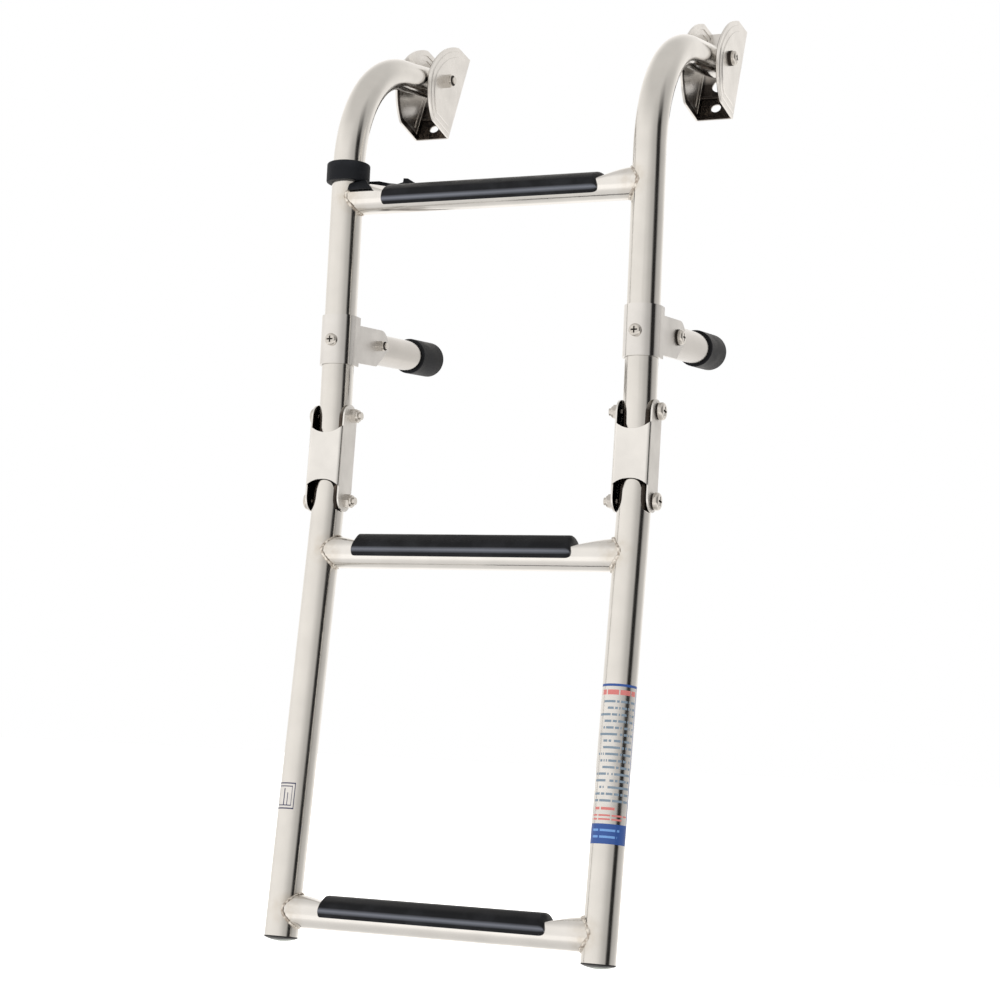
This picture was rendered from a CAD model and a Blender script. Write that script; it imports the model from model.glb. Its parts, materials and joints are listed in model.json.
"""Looks of the folding boarding ladder: materials, welds, treads, labels, light and camera.

Everything is in metres in the row frame: +Z up the upper stiles, +Y towards the hull."""

import json
import math

import bmesh
import bpy
from mathutils import Matrix, Vector, noise

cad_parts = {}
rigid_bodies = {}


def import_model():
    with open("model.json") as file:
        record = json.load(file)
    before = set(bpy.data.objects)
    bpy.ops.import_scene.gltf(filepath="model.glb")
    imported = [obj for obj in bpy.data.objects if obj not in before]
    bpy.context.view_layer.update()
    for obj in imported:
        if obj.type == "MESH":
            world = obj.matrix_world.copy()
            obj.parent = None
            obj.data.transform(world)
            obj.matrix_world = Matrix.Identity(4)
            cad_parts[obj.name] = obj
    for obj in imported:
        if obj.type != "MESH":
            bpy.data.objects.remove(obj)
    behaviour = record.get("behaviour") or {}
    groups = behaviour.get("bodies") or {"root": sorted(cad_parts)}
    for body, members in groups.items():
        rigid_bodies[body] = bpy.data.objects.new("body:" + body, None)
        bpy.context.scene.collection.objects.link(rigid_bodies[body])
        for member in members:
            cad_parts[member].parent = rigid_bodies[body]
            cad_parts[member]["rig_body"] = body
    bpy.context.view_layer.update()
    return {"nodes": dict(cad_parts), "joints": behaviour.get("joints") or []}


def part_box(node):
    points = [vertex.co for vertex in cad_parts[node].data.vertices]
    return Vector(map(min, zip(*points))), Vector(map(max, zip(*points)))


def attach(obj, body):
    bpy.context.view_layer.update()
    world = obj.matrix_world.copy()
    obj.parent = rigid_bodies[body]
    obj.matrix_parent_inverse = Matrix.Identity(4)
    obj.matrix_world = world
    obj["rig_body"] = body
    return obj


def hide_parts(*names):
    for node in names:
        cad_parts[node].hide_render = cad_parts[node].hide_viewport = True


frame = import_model()

MM = 0.001
SIDES = {"left": -1, "right": 1}
UPPER, HINGES, LOWER = "upper_section", "hinge_channels", "lower_section"
STEP_BODY = {"upper": UPPER, "middle": LOWER, "bottom": LOWER}

# tubes
TUBE_R = 12.7 * MM
HALF = 127 * MM                  # stile centre from the middle plane
LOWER_LEAN = 6.7                 # degrees that the lower stiles lean towards the climber

# rungs: pressed flat on top in the middle, and run out to the full round at the ends
RUNG_SIDE = 11.9 * MM            # half width
RUNG_END = HALF - 3 * MM
PRESS_LEVEL = 4.5 * MM           # the flat, above the rung's centre
PRESS_FLAT = 82 * MM             # half length of the flat
PRESS_RAMP = 117 * MM            # where the full round is reached
RUNG_HEIGHT = {"upper": 175.5 * MM, "middle": -40.8 * MM, "bottom": -317 * MM}   # from the stile's bolt
WELD_R = 1.15 * MM

# tread pads
TREAD_HALF = 90 * MM
TREAD_LIP = 4 * MM               # how far the lips reach below the rung's centre
TREAD_BEVEL = {-1: 2.0 * MM, 1: 4.5 * MM}      # moulded ends, left and right
# roll of the front edge downwards (degrees), crown of the tread, tread moved along the rung
STEP_FIT = {
    "upper": (21, 10.0 * MM, -0.5 * MM),
    "middle": (5, 14.5 * MM, -6.0 * MM),
    "bottom": (0, 13.0 * MM, -1.7 * MM),
}

# sheet parts and their bolts: a seat is the face that a bolt's washer lies on, from the part's middle
HINGE_PITCH = 68 * MM            # between a hinge's two bolts
HINGE_SEAT = 14.5 * MM
PIVOT_SEAT = 17.2 * MM
CLAMP_SEAT = 14.6 * MM
CLAMP_SCREW_UP = 59.1 * MM       # clamp screw above the upper hinge bolt
CLAMP_SCREW_TURN = -92           # degrees from outwards to forwards
DRIVE_DEPTH = 1.9 * MM           # of a driver recess
NUT_RING = 0.5 * MM              # thickness of the nylon ring that shows in a lock nut
DULL_FROM, DULL_FULL = 14.1 * MM, 14.25 * MM     # distance from a stile's centre to a flat side
DULL_BY = 0.36                   # roughness added on the flat sides
# inside of a folded sheet part, from its own middle: half width, front and back
BRACKET_INSIDE = (14.3 * MM, -40 * MM, 33 * MM)
HINGE_INSIDE = (13.2 * MM, -13.2 * MM, 30 * MM)
FOOT_DOME = (-719.4 * MM, -717.6 * MM)     # heights between which the feet turn from pale to black
BRACKET_TILT = {"left": 25.0, "right": 21.5}     # degrees that the tops lean towards the hull
BRACKET_MIDDLE = {"left": -127 * MM, "right": 128 * MM}

# printed films: side, bottom and top from the lower hinge bolt, half angle and facing in degrees
FILMS = {
    "right": (1, -253.2 * MM, -138.2 * MM, 75, -72),
    "left": (-1, -242.6 * MM, -222.6 * MM, 40, -108),
}
PRINT_BLUE, PRINT_SLATE, PRINT_INK = (0.0, 0.045, 0.22), (0.035, 0.10, 0.17), (0.025, 0.03, 0.075)
PRINT_RED, PRINT_PALE = (0.44, 0.035, 0.03), (0.16, 0.32, 0.62)

# tints of the tubes; the rungs are a little paler, and the stand-offs darker
STILE_TINT = (0.775, 0.757, 0.725)
RUNG_TINT = (0.83, 0.815, 0.79)
STANDOFF_TINT = (0.54, 0.52, 0.495)

CAMERA_PLACE = (646.7 * MM, -1647.3 * MM, -557.9 * MM)
CAMERA_TURN = (96.196, -2.607, 22.376)     # degrees about X, Y and Z
CAMERA_LENS = 77.52                        # on a 36 mm sensor

LADDER_MIDDLE = (0, -0.1, -0.35)
# level of the studio walls, by degrees to the right of straight in front
AROUND = [(-180, 0.90), (-140, 0.90), (-110, 0.82), (-75, 0.90), (-45, 0.88), (-15, 0.84), (5, 0.79),
          (22, 0.67), (42, 0.51), (60, 0.44), (70.5, 0.020), (91, 0.020), (96, 0.26), (106, 0.44),
          (125, 0.52), (142, 0.60), (156, 0.82), (179, 0.90)]
# level of the studio floor and the walls' foot, by the sine of the elevation
BELOW = [(-1, 0.60), (-0.93, 0.64), (-0.80, 0.70), (-0.70, 0.80), (-0.60, 1.0), (-0.3, 1.0), (0.1, 0.98)]
CEILING = 0.60
FLOOR_FADE = (-0.20, -0.32)      # sines of elevation between which the walls give way to the floor
CEILING_FADE = (0.5, 0.85)
WALL_TINT = (1.0, 0.968, 0.93)
WALL_LEVEL = 1.2


def joint_place(name):
    return next(Vector(j["pos_m"]) for j in frame["joints"] if j["name"] == name)


def centre(node):
    low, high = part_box(node)
    return (low + high) / 2


def frame_at(place, up):
    """Axes at place with Z along up and X kept level with the row's X."""
    z = up.normalized()
    x = Vector((1, 0, 0))
    y = z.cross(x)
    return Matrix.Translation(place) @ Matrix((x, y, z)).transposed().to_4x4()


UPPER_BOLT = joint_place("fold_upper")
LOWER_BOLT = joint_place("fold_lower")
STILE_FRAME = frame_at(UPPER_BOLT, Vector((0, 0, 1)))
CHANNEL_FRAME = frame_at(UPPER_BOLT, UPPER_BOLT - LOWER_BOLT)
LOWER_FRAME = frame_at(LOWER_BOLT, Matrix.Rotation(math.radians(-LOWER_LEAN), 3, "X") @ Vector((0, 0, 1)))
STEP_FRAME = {
    step: (STILE_FRAME if body == UPPER else LOWER_FRAME) @ Matrix.Translation((0, 0, RUNG_HEIGHT[step]))
    for step, body in STEP_BODY.items()
}
ROLLED_FRAME = {
    step: place @ Matrix.Rotation(math.radians(STEP_FIT[step][0]), 4, "X")
    for step, place in STEP_FRAME.items()
}
BRACKET_FRAME = {
    side: Matrix.Translation((BRACKET_MIDDLE[side], 0, 0)) @ Matrix.Rotation(math.radians(-tilt), 4, "X")
    for side, tilt in BRACKET_TILT.items()
}


# ---- node trees ----
class Tree:
    """A short way to write a node tree; an input's spaces are underscores."""

    def __init__(self, tree):
        self.tree = tree

    def add(self, kind, **inputs):
        node = self.tree.nodes.new("ShaderNode" + kind)
        for key, value in inputs.items():
            self.join(value, node.inputs[key.replace("_", " ")])
        return node

    def join(self, value, socket):
        if isinstance(value, bpy.types.NodeSocket):
            self.tree.links.new(value, socket)
        else:
            socket.default_value = value

    def math(self, operation, a, b=0.0, c=0.0):
        node = self.add("Math")
        node.operation = operation
        for value, socket in zip((a, b, c), node.inputs):
            self.join(value, socket)
        return node.outputs[0]

    def product(self, first, *others):
        for other in others:
            first = self.math("MULTIPLY", first, other)
        return first

    def mean(self, a, b, share=0.5):
        return self.math("ADD", self.math("MULTIPLY", a, share), self.math("MULTIPLY", b, 1 - share))

    def span(self, value, low, high, to_low=0.0, to_high=1.0):
        node = self.add("MapRange", Value=value, From_Min=low, From_Max=high,
                        To_Min=to_low, To_Max=to_high)
        return node.outputs[0]

    def blend(self, factor, a, b):
        node = self.add("Mix")
        node.data_type = "RGBA"
        self.join(factor, node.inputs["Factor"])
        for value, socket in ((a, node.inputs[6]), (b, node.inputs[7])):
            self.join(value, socket)
        return node.outputs[2]


class Nodes(Tree):
    """A material's node tree and its Principled shader."""

    def __init__(self, name):
        self.mat = bpy.data.materials.new(name)
        self.mat.use_nodes = True
        super().__init__(self.mat.node_tree)
        self.shader = self.tree.nodes["Principled BSDF"]

    def place(self, scale=(1, 1, 1)):
        coord = self.add("TexCoord")
        return self.add("Mapping", Scale=scale, Vector=coord.outputs["Object"]).outputs[0]

    def noise(self, scale, stretch=(1, 1, 1), detail=3.0):
        node = self.add("TexNoise", Vector=self.place(stretch), Scale=scale, Detail=detail)
        return node.outputs["Fac"]

    def mottle(self, value, low, high, first, second):
        """The first colour where value is under low, running to the second where it passes high."""
        return self.blend(self.span(value, low, high), (*first, 1), (*second, 1))

    def attribute(self, name):
        node = self.add("Attribute")
        node.attribute_name = name
        return node.outputs["Fac"]

    def bump(self, height, strength, distance):
        node = self.add("Bump", Strength=strength, Distance=distance, Height=height)
        self.join(node.outputs[0], self.shader.inputs["Normal"])

    def set(self, **inputs):
        for key, value in inputs.items():
            self.join(value, self.shader.inputs[key.replace("_", " ")])


def scaled(colour, factor):
    return tuple(c * factor for c in colour)


# ---- camera, floor and light ----
def make_camera():
    data = bpy.data.cameras.new("camera")
    data.lens = CAMERA_LENS
    data.sensor_width = 36
    camera = bpy.data.objects.new("camera", data)
    camera.location = CAMERA_PLACE
    camera.rotation_euler = [math.radians(a) for a in CAMERA_TURN]
    bpy.context.scene.collection.objects.link(camera)
    bpy.context.scene.camera = camera


def add_mesh(name, bm):
    mesh = bpy.data.meshes.new(name)
    bm.to_mesh(mesh)
    bm.free()
    mesh.shade_smooth()
    made = bpy.data.objects.new(name, mesh)
    bpy.context.scene.collection.objects.link(made)
    return made


def make_floor():
    """A wide white floor under the ladder; polished parts reflect the studio's own floor instead."""
    bm = bmesh.new()
    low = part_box("foot_plug_left")[0].z - 40 * MM
    bmesh.ops.create_grid(bm, x_segments=8, y_segments=8, size=12, matrix=Matrix.Translation((0, 0, low)))
    floor = add_mesh("floor", bm)
    n = Nodes("pale_floor")
    n.set(Base_Color=(0.9, 0.9, 0.9, 1), Roughness=0.9, Emission_Color=(1, 1, 1, 1), Emission_Strength=0.9)
    floor.data.materials.append(n.mat)
    floor.visible_glossy = False


def wall_ramp(n, value, levels):
    """Ramp of the walls' tint over value; levels lists (position, level)."""
    node = n.add("ValToRGB", Fac=value)
    stops = node.color_ramp.elements
    stops.remove(stops[0])
    stops[0].position = 1
    for position, level in levels:
        stops.new(position).color = (*scaled(WALL_TINT, level), 1)
    stops[len(stops) - 1].color = stops[len(stops) - 2].color
    return node.outputs["Color"]


def make_world():
    """Studio surroundings: pale all round, with one dark opening to the right of the camera.

    The camera itself sees plain white behind the ladder.
    """
    world = bpy.data.worlds.new("studio")
    bpy.context.scene.world = world
    bpy.context.scene.view_settings.view_transform = "Standard"
    world.use_nodes = True
    world.node_tree.nodes.clear()
    n = Tree(world.node_tree)
    split = n.add("SeparateXYZ", Vector=n.add("TexCoord").outputs["Generated"])
    x, y, up = split.outputs
    turn = n.math("ARCTAN2", x, n.math("MULTIPLY", y, -1))
    walls = wall_ramp(n, n.span(turn, -math.pi, math.pi), [(a / 360 + 0.5, level) for a, level in AROUND])
    floor = wall_ramp(n, n.span(up, -1, 1), [(sine / 2 + 0.5, level) for sine, level in BELOW])
    walls = n.blend(n.span(up, *CEILING_FADE), walls, (*scaled(WALL_TINT, CEILING), 1))
    studio = n.blend(n.span(up, *FLOOR_FADE), walls, floor)
    lit = n.add("Background", Color=studio, Strength=WALL_LEVEL)
    seen = n.add("Background", Color=(1, 1, 1, 1))
    mix = n.add("MixShader", Fac=n.add("LightPath").outputs["Is Camera Ray"])
    n.join(lit.outputs[0], mix.inputs[1])
    n.join(seen.outputs[0], mix.inputs[2])
    n.add("OutputWorld", Surface=mix.outputs[0])


def area_light(name, place, size, energy, colour=(1, 1, 1)):
    """Square light aimed at the ladder, and not seen in its polished parts."""
    data = bpy.data.lights.new(name, "AREA")
    data.size = size
    data.energy = energy
    data.color = colour
    light = bpy.data.objects.new(name, data)
    light.location = place
    aim = Vector(LADDER_MIDDLE) - Vector(place)
    light.rotation_euler = aim.to_track_quat("-Z", "Y").to_euler()
    light.visible_glossy = False
    bpy.context.scene.collection.objects.link(light)


# ---- materials ----
def polished_steel(name, along, weld_points=(), tint=STILE_TINT):
    """Mirror-like stainless tube with faint drawing marks, smudges and tint round its welds."""
    n = Nodes(name)
    drawn = n.noise(1400, tuple(0.04 if i == along else 1.0 for i in range(3)), 2)
    smudge = n.noise(38, detail=4)
    base = n.mottle(smudge, 0.35, 0.7, tint, scaled(tint, 0.93))
    if weld_points:
        where = n.place()
        heat = 0.0
        for point in weld_points:
            away = n.add("VectorMath")
            away.operation = "DISTANCE"
            n.join(where, away.inputs[0])
            away.inputs[1].default_value = point
            near = n.span(away.outputs["Value"], 10 * MM, 19 * MM, 0.6, 0.0)
            heat = n.math("MAXIMUM", heat, near)
        ragged = n.math("MULTIPLY", heat, n.span(n.noise(160), 0.3, 0.7, 0.1, 1.0))
        base = n.blend(ragged, base, (0.56, 0.48, 0.37, 1))
    n.set(Base_Color=base, Metallic=1.0, Roughness=n.span(n.mean(drawn, smudge), 0.3, 0.7, 0.09, 0.2))
    n.bump(drawn, 0.05, 0.2 * MM)
    return n.mat


def satin_steel(name, tint, rough, dull_sides=False):
    """Brushed stainless sheet, duller on the flat sides of a part round a stile where dull_sides is set."""
    n = Nodes(name)
    brushed = n.noise(2600, (1, 1, 0.03))
    cloud = n.noise(55, detail=4)
    shine = n.span(n.mean(brushed, cloud, 0.6), 0.3, 0.7, rough - 0.07, rough + 0.08)
    if dull_sides:
        x = n.add("SeparateXYZ", Vector=n.place()).outputs["X"]
        out = n.math("ABSOLUTE", n.math("SUBTRACT", n.math("ABSOLUTE", x), HALF))
        shine = n.math("MULTIPLY_ADD", n.span(out, DULL_FROM, DULL_FULL), DULL_BY, shine)
    n.set(Base_Color=n.mottle(cloud, 0.3, 0.7, tint, scaled(tint, 0.92)), Metallic=1.0, Roughness=shine)
    n.bump(brushed, 0.3 * rough, 0.2 * MM)
    return n


def fastener_steel(name):
    n = Nodes(name)
    fine = n.noise(900)
    n.set(Base_Color=n.mottle(fine, 0.3, 0.7, (0.70, 0.675, 0.64), (0.58, 0.55, 0.51)),
          Metallic=1.0, Roughness=n.span(fine, 0.3, 0.7, 0.09, 0.18))
    n.bump(fine, 0.08, 0.2 * MM)
    return n.mat


def foot_plastic(name):
    """Black rim with a paler, scuffed dome under it."""
    n = Nodes(name)
    z = n.add("SeparateXYZ", Vector=n.place()).outputs["Z"]
    scuff = n.noise(260, detail=4)
    pale = n.mottle(scuff, 0.3, 0.7, (0.30, 0.33, 0.30), (0.20, 0.22, 0.21))
    dome = n.span(z, *FOOT_DOME, 1.0, 0.0)
    n.set(Base_Color=n.blend(dome, (0.012, 0.012, 0.013, 1), pale))
    n.set(Roughness=n.span(scuff, 0.3, 0.7, 0.3, 0.45), Specular_IOR_Level=0.25)
    n.bump(scuff, 0.08, 0.3 * MM)
    return n.mat


def weld_metal(name):
    """Lumpy bead, straw to brown."""
    n = Nodes(name)
    lump = n.noise(330, detail=4)
    n.set(Base_Color=n.mottle(lump, 0.38, 0.62, (0.40, 0.35, 0.30), (0.82, 0.78, 0.72)))
    n.set(Metallic=1.0, Roughness=0.24)
    n.bump(lump, 0.35, 0.8 * MM)
    return n.mat


def rubber(name, colour=(0.010, 0.0105, 0.012), rough=0.42, grain=2700, shine=0.06):
    """Moulded black rubber with a fine grain and a dusty bloom."""
    n = Nodes(name)
    bloom = n.noise(70, detail=5)
    n.set(Base_Color=n.mottle(bloom, 0.45, 0.8, colour, scaled(colour, 1.9)))
    n.set(Roughness=n.span(bloom, 0.3, 0.7, rough - 0.06, rough + 0.1), Specular_IOR_Level=shine)
    n.bump(n.noise(grain, detail=4), 0.22, 0.3 * MM)
    return n


def tread_rubber(name):
    """Rubber with a bluish band worn along the front edge; "across" runs from 1 at its lip to 0 on top."""
    n = rubber(name, rough=0.36)
    across = n.attribute("across")
    patchy = n.span(n.noise(26, (0.25, 1, 1)), 0.25, 0.7, 0.55, 1.0)
    worn = n.product(n.span(across, 0.55, 0.64), n.span(across, 0.65, 0.76, 1.0, 0.0), patchy)
    base = n.shader.inputs["Base Color"].links[0].from_socket
    n.set(Base_Color=n.blend(worn, base, (0.15, 0.16, 0.19, 1)))
    return n.mat


def sheet_with_inside(name, node_frame, inside_size, tint, rough, dull_sides=False):
    """Brushed sheet, darkened on the inner faces of its fold, and less so in its upper part.

    inside_size gives the half width, front and back of the inside in node_frame.
    """
    half, front, back = inside_size
    n = satin_steel(name, tint, rough, dull_sides)
    plain = n.shader.inputs["Base Color"].links[0].from_socket
    split = n.add("SeparateXYZ", Vector=n.place())
    turned = node_frame.inverted()

    def coordinate(row):
        """One of the point's coordinates in node_frame, from that row of the turned axes."""
        return n.math("ADD", n.math("MULTIPLY", split.outputs["Y"], row[1]),
                      n.math("MULTIPLY_ADD", split.outputs["Z"], row[2], row[3]))

    off_middle = n.math("ABSOLUTE", n.math("SUBTRACT", split.outputs["X"], node_frame.translation.x))
    depth, level = coordinate(turned[1]), coordinate(turned[2])
    inside = n.product(
        n.math("LESS_THAN", off_middle, half), n.math("GREATER_THAN", depth, front),
        n.math("LESS_THAN", depth, back), n.span(level, 0.0, 15 * MM, 1.0, 0.0))
    streaks = n.noise(90, (1, 1, 0.35))
    dark = n.mottle(streaks, 0.50, 0.68, (0.055, 0.047, 0.042), (0.24, 0.20, 0.17))
    n.set(Base_Color=n.blend(inside, plain, dark))
    return n.mat


def print_bars(name, layout):
    """Clear film on the steel with generic printed bars.

    layout lists (v from, v to, u from, u to, colour, dashes across, row pitch). No dashes make a plain
    block, and no pitch makes one row.
    """
    n = Nodes(name)
    uv = n.add("UVMap")
    uv.uv_map = "film"
    split = n.add("SeparateXYZ", Vector=uv.outputs[0])
    u, v = split.outputs["X"], split.outputs["Y"]
    smudge = n.noise(60, detail=4)
    colour = n.mottle(smudge, 0.35, 0.7, (0.80, 0.785, 0.76), (0.70, 0.69, 0.67))
    printed = 0.0

    def within(value, low, high):
        return n.math("MULTIPLY", n.math("GREATER_THAN", value, low), n.math("LESS_THAN", value, high))

    def random_of(x, y):
        pick = n.add("TexWhiteNoise", Vector=n.add("CombineXYZ", X=x, Y=y).outputs[0])
        pick.noise_dimensions = "2D"
        return pick.outputs["Value"]

    for low, high, start, end, paint, dashes, pitch in layout:
        band = n.product(within(v, low, high), within(u, start, end))
        if dashes:
            line = n.math("DIVIDE", n.math("SUBTRACT", v, low), pitch or high - low)
            if pitch:
                band = n.product(band, within(n.math("FRACT", line), 0.34, 0.70))
            row = n.math("FLOOR", line)
            cell = n.math("FLOOR", n.math("MULTIPLY", u, dashes))
            indent = n.math("MULTIPLY_ADD", random_of(row, 3.5), 0.26, start)
            inked = n.math("GREATER_THAN", random_of(cell, row), 0.24)
            band = n.product(band, inked, n.math("GREATER_THAN", u, indent))
        cover = n.math("MULTIPLY", band, 0.82 if dashes else 0.96)
        colour = n.blend(cover, colour, (*paint, 1))
        printed = n.math("MAXIMUM", printed, band)
    n.set(Base_Color=colour, Metallic=n.span(printed, 0, 1, 1.0, 0.1),
          Roughness=n.span(smudge, 0.3, 0.7, 0.14, 0.24), Specular_IOR_Level=0.3)
    n.bump(n.noise(500, detail=2), 0.05, 0.2 * MM)
    return n.mat


# ---- pieces ----
def ring_mesh(name, rings, closed=False, across=None):
    """Skin over rings of points, with flat ends unless closed joins the last ring to the first.

    across gives each point of a ring a value that its material can read.
    """
    bm = bmesh.new()
    layer = bm.verts.layers.float.new("across") if across else None
    made = []
    for ring in rings:
        made.append([bm.verts.new(p) for p in ring])
        if across:
            for vert, value in zip(made[-1], across):
                vert[layer] = value
    count = len(rings[0])
    steps = len(rings) if closed else len(rings) - 1
    for i in range(steps):
        a, b = made[i], made[(i + 1) % len(rings)]
        for k in range(count):
            m = (k + 1) % count
            bm.faces.new((a[k], b[k], b[m], a[m]))
    if not closed:
        bm.faces.new(made[0])
        bm.faces.new(made[-1])
    bmesh.ops.recalc_face_normals(bm, faces=bm.faces)
    return add_mesh(name, bm)


def soft_least(a, b, round_by):
    """The smaller of a and b, blended where they cross."""
    h = max(round_by - abs(a - b), 0) / round_by
    return min(a, b) - h * h * round_by / 4


def rung_mesh(step):
    """Tube flared from a flat-topped middle to round ends, which run into the stiles."""
    place = ROLLED_FRAME[step]
    near = [x * MM for x in range(62, 124, 2)] + [RUNG_END]
    stations = [-x for x in reversed(near)] + [0] + near
    around = 96
    rings = []
    for x in stations:
        out = min(max((abs(x) - PRESS_FLAT) / (PRESS_RAMP - PRESS_FLAT), 0), 1)
        level = PRESS_LEVEL + out * (TUBE_R + 2 * MM - PRESS_LEVEL)
        soft = (1.2 + 3.5 * out) * MM
        ring = []
        for k in range(around):
            t = 2 * math.pi * k / around
            z = TUBE_R * math.sin(t)
            if z > 0:
                z = soft_least(z, level, soft)
            ring.append(place @ Vector((x, RUNG_SIDE * math.cos(t), z)))
        rings.append(ring)
    made = ring_mesh(f"rung_tube_{step}", rings)
    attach(made, STEP_BODY[step])
    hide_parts(f"rung_{step}")
    return made


def between(p0, p1, p2, p3, t):
    """Point on the smooth curve through p1 and p2, at t from 0 to 1."""
    return tuple(
        0.5 * (2 * b + (c - a) * t + (2 * a - 5 * b + 4 * c - d) * t * t
               + (3 * b - a - 3 * c + d) * t ** 3)
        for a, b, c, d in zip(p0, p1, p2, p3))


def tread_section(top):
    """The tread's outline from the front lip over the crown to the back lip, as (y, z)."""
    shoulder = 8 * MM
    rise = top - shoulder
    knots = [(y * MM, z * MM) for y, z in (
        (-12.6, -4.0), (-13.5, -3.7), (-14.5, -1.4), (-14.9, 1.4), (-14.3, 4.6), (-12.7, 7.3))]
    knots += [(-9.6 * MM, shoulder + 0.35 * rise), (-5 * MM, shoulder + 0.86 * rise), (0, top)]
    last = len(knots) - 1
    points = []
    for i in range(last):
        four = [knots[min(max(k, 0), last)] for k in (i - 1, i, i + 1, i + 2)]
        points += [between(*four, j / 5) for j in range(5)]
    return points + [(0, top)] + [(-y, z) for y, z in reversed(points)]


def tread_mesh(step):
    """Moulded pad with rounded ends."""
    _, top, shift = STEP_FIT[step]
    place = ROLLED_FRAME[step]
    outline = tread_section(top)
    stations = []
    for side in (-1, 1):
        bevel = TREAD_BEVEL[side]
        turns = [a * math.pi / 16 for a in range(9)]
        near = [(side * (TREAD_HALF - bevel * (1 - math.sin(a))), math.cos(a)) for a in turns]
        stations += near[::-1] if side < 0 else near
    rings = []
    for x, full in stations:
        ring = []
        for y, z in outline:
            low, share = (0.42, 0.58) if z > 0 else (0.5, 0.5)
            z_end = max(z * (low + share * full), -TREAD_LIP)
            ring.append(place @ Vector((x + shift, y * (0.95 + 0.05 * full), z_end)))
        rings.append(ring)
    half = len(outline) // 2
    across = [1 - i / half if i <= half else -1.0 for i in range(len(outline))]
    made = ring_mesh(f"tread_pad_{step}", rings, across=across)
    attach(made, STEP_BODY[step])
    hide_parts(f"tread_{step}")
    return made


def weld_bead(name, step, side):
    """Lumpy bead round the joint of a rung's end and its stile."""
    place = STEP_FRAME[step]
    around, across = 176, 10
    seed = side * 3.1 + len(step)
    rings = []
    for i in range(around):
        t = 2 * math.pi * i / around
        ripple = 0.5 + 0.5 * math.cos(t * 30 + 2 * math.sin(3 * t))
        lump = noise.noise(Vector((math.cos(t) * 2.6, math.sin(t) * 2.6, seed)))
        radius = WELD_R * (1 + 0.25 * ripple + 0.7 * lump + 0.12 * math.cos(t + math.pi / 2))
        y = RUNG_SIDE * math.cos(t)
        point = Vector((math.sqrt(TUBE_R ** 2 - y * y), y, TUBE_R * math.sin(t)))
        outward = Vector((0.6, math.cos(t), math.sin(t))).normalized()
        ring = []
        for k in range(across):
            a = 2 * math.pi * k / across
            p = point + outward * (radius * 0.75 * math.cos(a)) + Vector((radius * 1.25 * math.sin(a), 0, 0))
            ring.append(place @ Vector((side * (HALF - p.x), p.y, p.z)))
        rings.append(ring)
    made = ring_mesh(name, rings, closed=True)
    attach(made, STEP_BODY[step])
    return made


def driver_cross(name, place, head_r, depth_x, body):
    """Dark bottom of a cross-shaped driver recess at depth_x, facing +X of place."""
    long_half, short_half = head_r * 0.50, head_r * 0.105
    corners = []
    for quarter in range(4):
        c, q = math.cos(quarter * math.pi / 2), math.sin(quarter * math.pi / 2)
        for y, z in ((short_half, short_half), (long_half, short_half), (long_half, -short_half)):
            corners.append((y * c - z * q, y * q + z * c))
    corners = sorted(corners, key=lambda p: math.atan2(p[1], p[0]))
    rings = [[place @ Vector((x, y, z)) for y, z in corners] for x in (depth_x, depth_x + 0.15 * MM)]
    made = ring_mesh(name, rings)
    made.data.shade_flat()
    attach(made, body)
    return made


def insert_ring(name, place, outer, inner, start_x, thick, body):
    """Nylon ring showing at the end of a lock nut, facing -X of place."""
    end_x = start_x - thick
    turns = [2 * math.pi * k / 48 for k in range(48)]
    rings = [
        [place @ Vector((x, radius * math.cos(t), radius * math.sin(t))) for t in turns]
        for radius, x in ((outer, start_x), (outer, end_x), (inner, end_x), (inner, start_x))]
    made = ring_mesh(name, rings, closed=True)
    made.data.shade_flat()
    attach(made, body)
    return made


def film(name, side, low, high, half_angle, facing):
    """Thin printed film wrapped on a lower stile, with its own u round and v up the stile."""
    bm = bmesh.new()
    layer = bm.loops.layers.uv.new("film")
    radius = TUBE_R + 0.14 * MM
    count = 40
    columns = []
    for i in range(count + 1):
        turn = math.radians(facing + half_angle * (2 * i / count - 1))
        x, y = radius * math.cos(turn), radius * math.sin(turn)
        columns.append([bm.verts.new(LOWER_FRAME @ Vector((side * HALF + x, y, z))) for z in (low, high)])
    for i in range(count):
        a, b = columns[i], columns[i + 1]
        face = bm.faces.new((a[0], b[0], b[1], a[1]))
        for loop, at in zip(face.loops, ((i, 0), (i + 1, 0), (i + 1, 1), (i, 1))):
            loop[layer].uv = (at[0] / count, at[1])
    made = add_mesh("print_" + name, bm)
    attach(made, LOWER)
    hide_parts("label_" + name)
    return made


def sided(side, place):
    """A frame on one stile whose +X points outwards."""
    shift = Matrix.Translation((side * HALF, 0, 0))
    return shift @ Matrix.Diagonal((side, 1, 1, 1)) @ place


# ---- assembly of the looks ----
make_camera()
make_floor()
make_world()
area_light("key", (-1.6, -2.2, 1.2), size=1.6, energy=26, colour=(1.0, 0.99, 0.97))
area_light("fill", (1.9, -1.4, 0.4), size=1.2, energy=8)

welds = {UPPER: [], LOWER: []}
for step, place in STEP_FRAME.items():
    for side in SIDES.values():
        welds[STEP_BODY[step]].append(place @ Vector((side * (HALF - TUBE_R * 0.6), 0, 0)))

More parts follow.
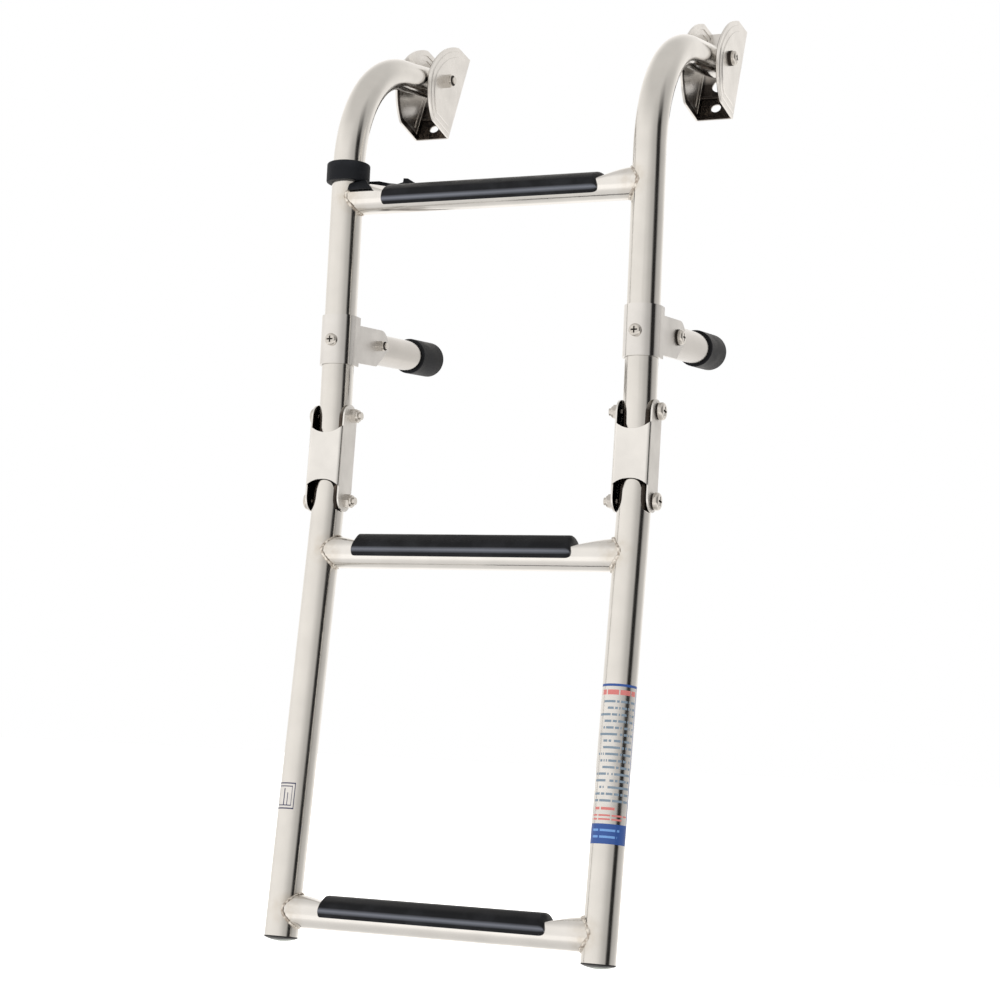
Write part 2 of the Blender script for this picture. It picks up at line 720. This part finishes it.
stile_steel = {
    UPPER: polished_steel("stile_steel_upper", 2, welds[UPPER]),
    LOWER: polished_steel("stile_steel_lower", 2, welds[LOWER]),
}
rung_steel = {
    UPPER: polished_steel("rung_steel_upper", 0, welds[UPPER], RUNG_TINT),
    LOWER: polished_steel("rung_steel_lower", 0, welds[LOWER], RUNG_TINT),
}
standoff_steel = polished_steel("standoff_steel", 1, tint=STANDOFF_TINT)
clamp_steel = satin_steel("clamp_sheet", (0.78, 0.765, 0.745), 0.10, dull_sides=True).mat
sided_steel = {}
for name, side in SIDES.items():
    sided_steel["bracket_" + name] = sheet_with_inside(
        "bracket_sheet_" + name, BRACKET_FRAME[name], BRACKET_INSIDE, (0.86, 0.84, 0.81), 0.3)
    channel = Matrix.Translation((side * HALF, 0, 0)) @ CHANNEL_FRAME
    sided_steel["hinge_channel_" + name] = sheet_with_inside(
        "hinge_sheet_" + name, channel, HINGE_INSIDE, (0.86, 0.845, 0.82), 0.17, dull_sides=True)
screw_steel = fastener_steel("screw_steel")
weld_steel = weld_metal("weld_steel")
cap_rubber = rubber("cap_rubber", rough=0.40).mat
pad_rubber = tread_rubber("tread_rubber")
strap_rubber = rubber("strap_rubber", (0.011, 0.012, 0.014), 0.45).mat
nylon = rubber("nylon", (0.020, 0.016, 0.013), 0.35, 1500).mat
plug_plastic = foot_plastic("plug_plastic")
recess_shade = rubber("recess_shade", (0.014, 0.011, 0.009), 0.6, 900, 0.1).mat

prints = {}
prints["right"] = print_bars("long_print", [
    (0.984, 1.0, 0.0, 1.0, PRINT_BLUE, 0, 0),
    (0.10, 0.99, 0.955, 0.985, PRINT_BLUE, 0, 0),
    (0.930, 0.962, 0.03, 0.92, PRINT_RED, 34, 0),
    (0.245, 0.908, 0.04, 0.93, PRINT_SLATE, 34, 0.0414),
    (0.209, 0.226, 0.12, 0.60, PRINT_RED, 27, 0),
    (0.170, 0.181, 0.03, 0.93, PRINT_RED, 33, 0),
    (0.146, 0.157, 0.03, 0.80, PRINT_RED, 33, 0),
    (0.0, 0.124, 0.0, 1.0, PRINT_BLUE, 0, 0),
    (0.077, 0.091, 0.06, 0.75, PRINT_PALE, 26, 0),
    (0.036, 0.050, 0.06, 0.70, PRINT_PALE, 26, 0),
])
prints["left"] = print_bars("square_print", [
    (0.95, 1.0, 0.0, 1.0, PRINT_INK, 0, 0), (0.0, 0.05, 0.0, 1.0, PRINT_INK, 0, 0),
    (0.0, 1.0, 0.0, 0.03, PRINT_INK, 0, 0), (0.0, 1.0, 0.965, 1.0, PRINT_INK, 0, 0),
    (0.84, 0.88, 0.12, 0.88, PRINT_INK, 0, 0), (0.12, 0.16, 0.12, 0.88, PRINT_INK, 0, 0),
    (0.12, 0.88, 0.12, 0.145, PRINT_INK, 0, 0), (0.12, 0.88, 0.855, 0.88, PRINT_INK, 0, 0),
    (0.16, 0.78, 0.48, 0.54, PRINT_INK, 0, 0), (0.16, 0.62, 0.66, 0.70, PRINT_INK, 0, 0),
])

PLAIN = {
    "clamp_screw": screw_steel, "clamp": clamp_steel, "standoff_tube": standoff_steel,
    "standoff_cap": cap_rubber, "retaining_strap": strap_rubber, "foot_plug": plug_plastic,
}


def material_of(node):
    if node in sided_steel:
        return sided_steel[node]
    if "washer" in node:
        return nylon
    if node.startswith(("upper_stile", "lower_stile")):
        return stile_steel[frame["nodes"][node]["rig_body"]]
    return next((made for start, made in PLAIN.items() if node.startswith(start)), screw_steel)


for node, cad in frame["nodes"].items():
    cad.data.materials.clear()
    cad.data.materials.append(material_of(node))

for step, body in STEP_BODY.items():
    rung_mesh(step).data.materials.append(rung_steel[body])
    tread_mesh(step).data.materials.append(pad_rubber)
    for name, side in SIDES.items():
        weld_bead(f"weld_{step}_{name}", step, side).data.materials.append(weld_steel)

for name, sizes in FILMS.items():
    film(name, *sizes).data.materials.append(prints[name])

# driver recesses and lock-nut rings; a head is its radius, seat, height and washer thickness
standoff_bolt = (centre("standoff_bolt_left") + centre("standoff_bolt_right")) / 2
STANDOFF_FRAME = Matrix.Translation((0, standoff_bolt.y, standoff_bolt.z))
HINGE_HEAD = (6.75 * MM, HINGE_SEAT, 4.0 * MM, 1.6 * MM)
STANDOFF_HEAD = (5.8 * MM, CLAMP_SEAT, 3.8 * MM, 1.6 * MM)
PIVOT_HEAD = (5.8 * MM, PIVOT_SEAT, 3.8 * MM, 2.0 * MM)
SCREW_HEAD = (4.9 * MM, CLAMP_SEAT, 3.8 * MM, 0.0)
for name, side in SIDES.items():
    bracket = name + "_bracket"
    lower_bolt = CHANNEL_FRAME @ Matrix.Translation((0, 0, -HINGE_PITCH))
    pivot = Matrix.Translation((side * BRACKET_MIDDLE[name] - HALF, 0, 0))
    clamp_screw = (Matrix.Translation((0, UPPER_BOLT.y, UPPER_BOLT.z + CLAMP_SCREW_UP))
                   @ Matrix.Rotation(math.radians(CLAMP_SCREW_TURN), 4, "Z"))
    for label, place, head, body in (
            ("hinge_upper", CHANNEL_FRAME, HINGE_HEAD, HINGES),
            ("hinge_lower", lower_bolt, HINGE_HEAD, HINGES),
            ("standoff", STANDOFF_FRAME, STANDOFF_HEAD, UPPER),
            ("pivot", pivot, PIVOT_HEAD, bracket),
            ("clamp", clamp_screw, SCREW_HEAD, UPPER)):
        head_r, seat, high, washer = head
        made = driver_cross(f"recess_{label}_{name}", sided(side, place), head_r,
                            seat + washer + high - DRIVE_DEPTH, body)
        made.data.materials.append(recess_shade)
    for label, place, outer, inner, nut_end, body in (
            ("standoff", STANDOFF_FRAME, 3.6 * MM, 2.6 * MM, CLAMP_SEAT + 6.3 * MM, UPPER),
            ("pivot", pivot, 4.5 * MM, 3.1 * MM, PIVOT_SEAT + 6.8 * MM, bracket)):
        ring = insert_ring(f"insert_{label}_{name}", sided(side, place),
                           outer, inner, -nut_end, NUT_RING, body)
        ring.data.materials.append(nylon)
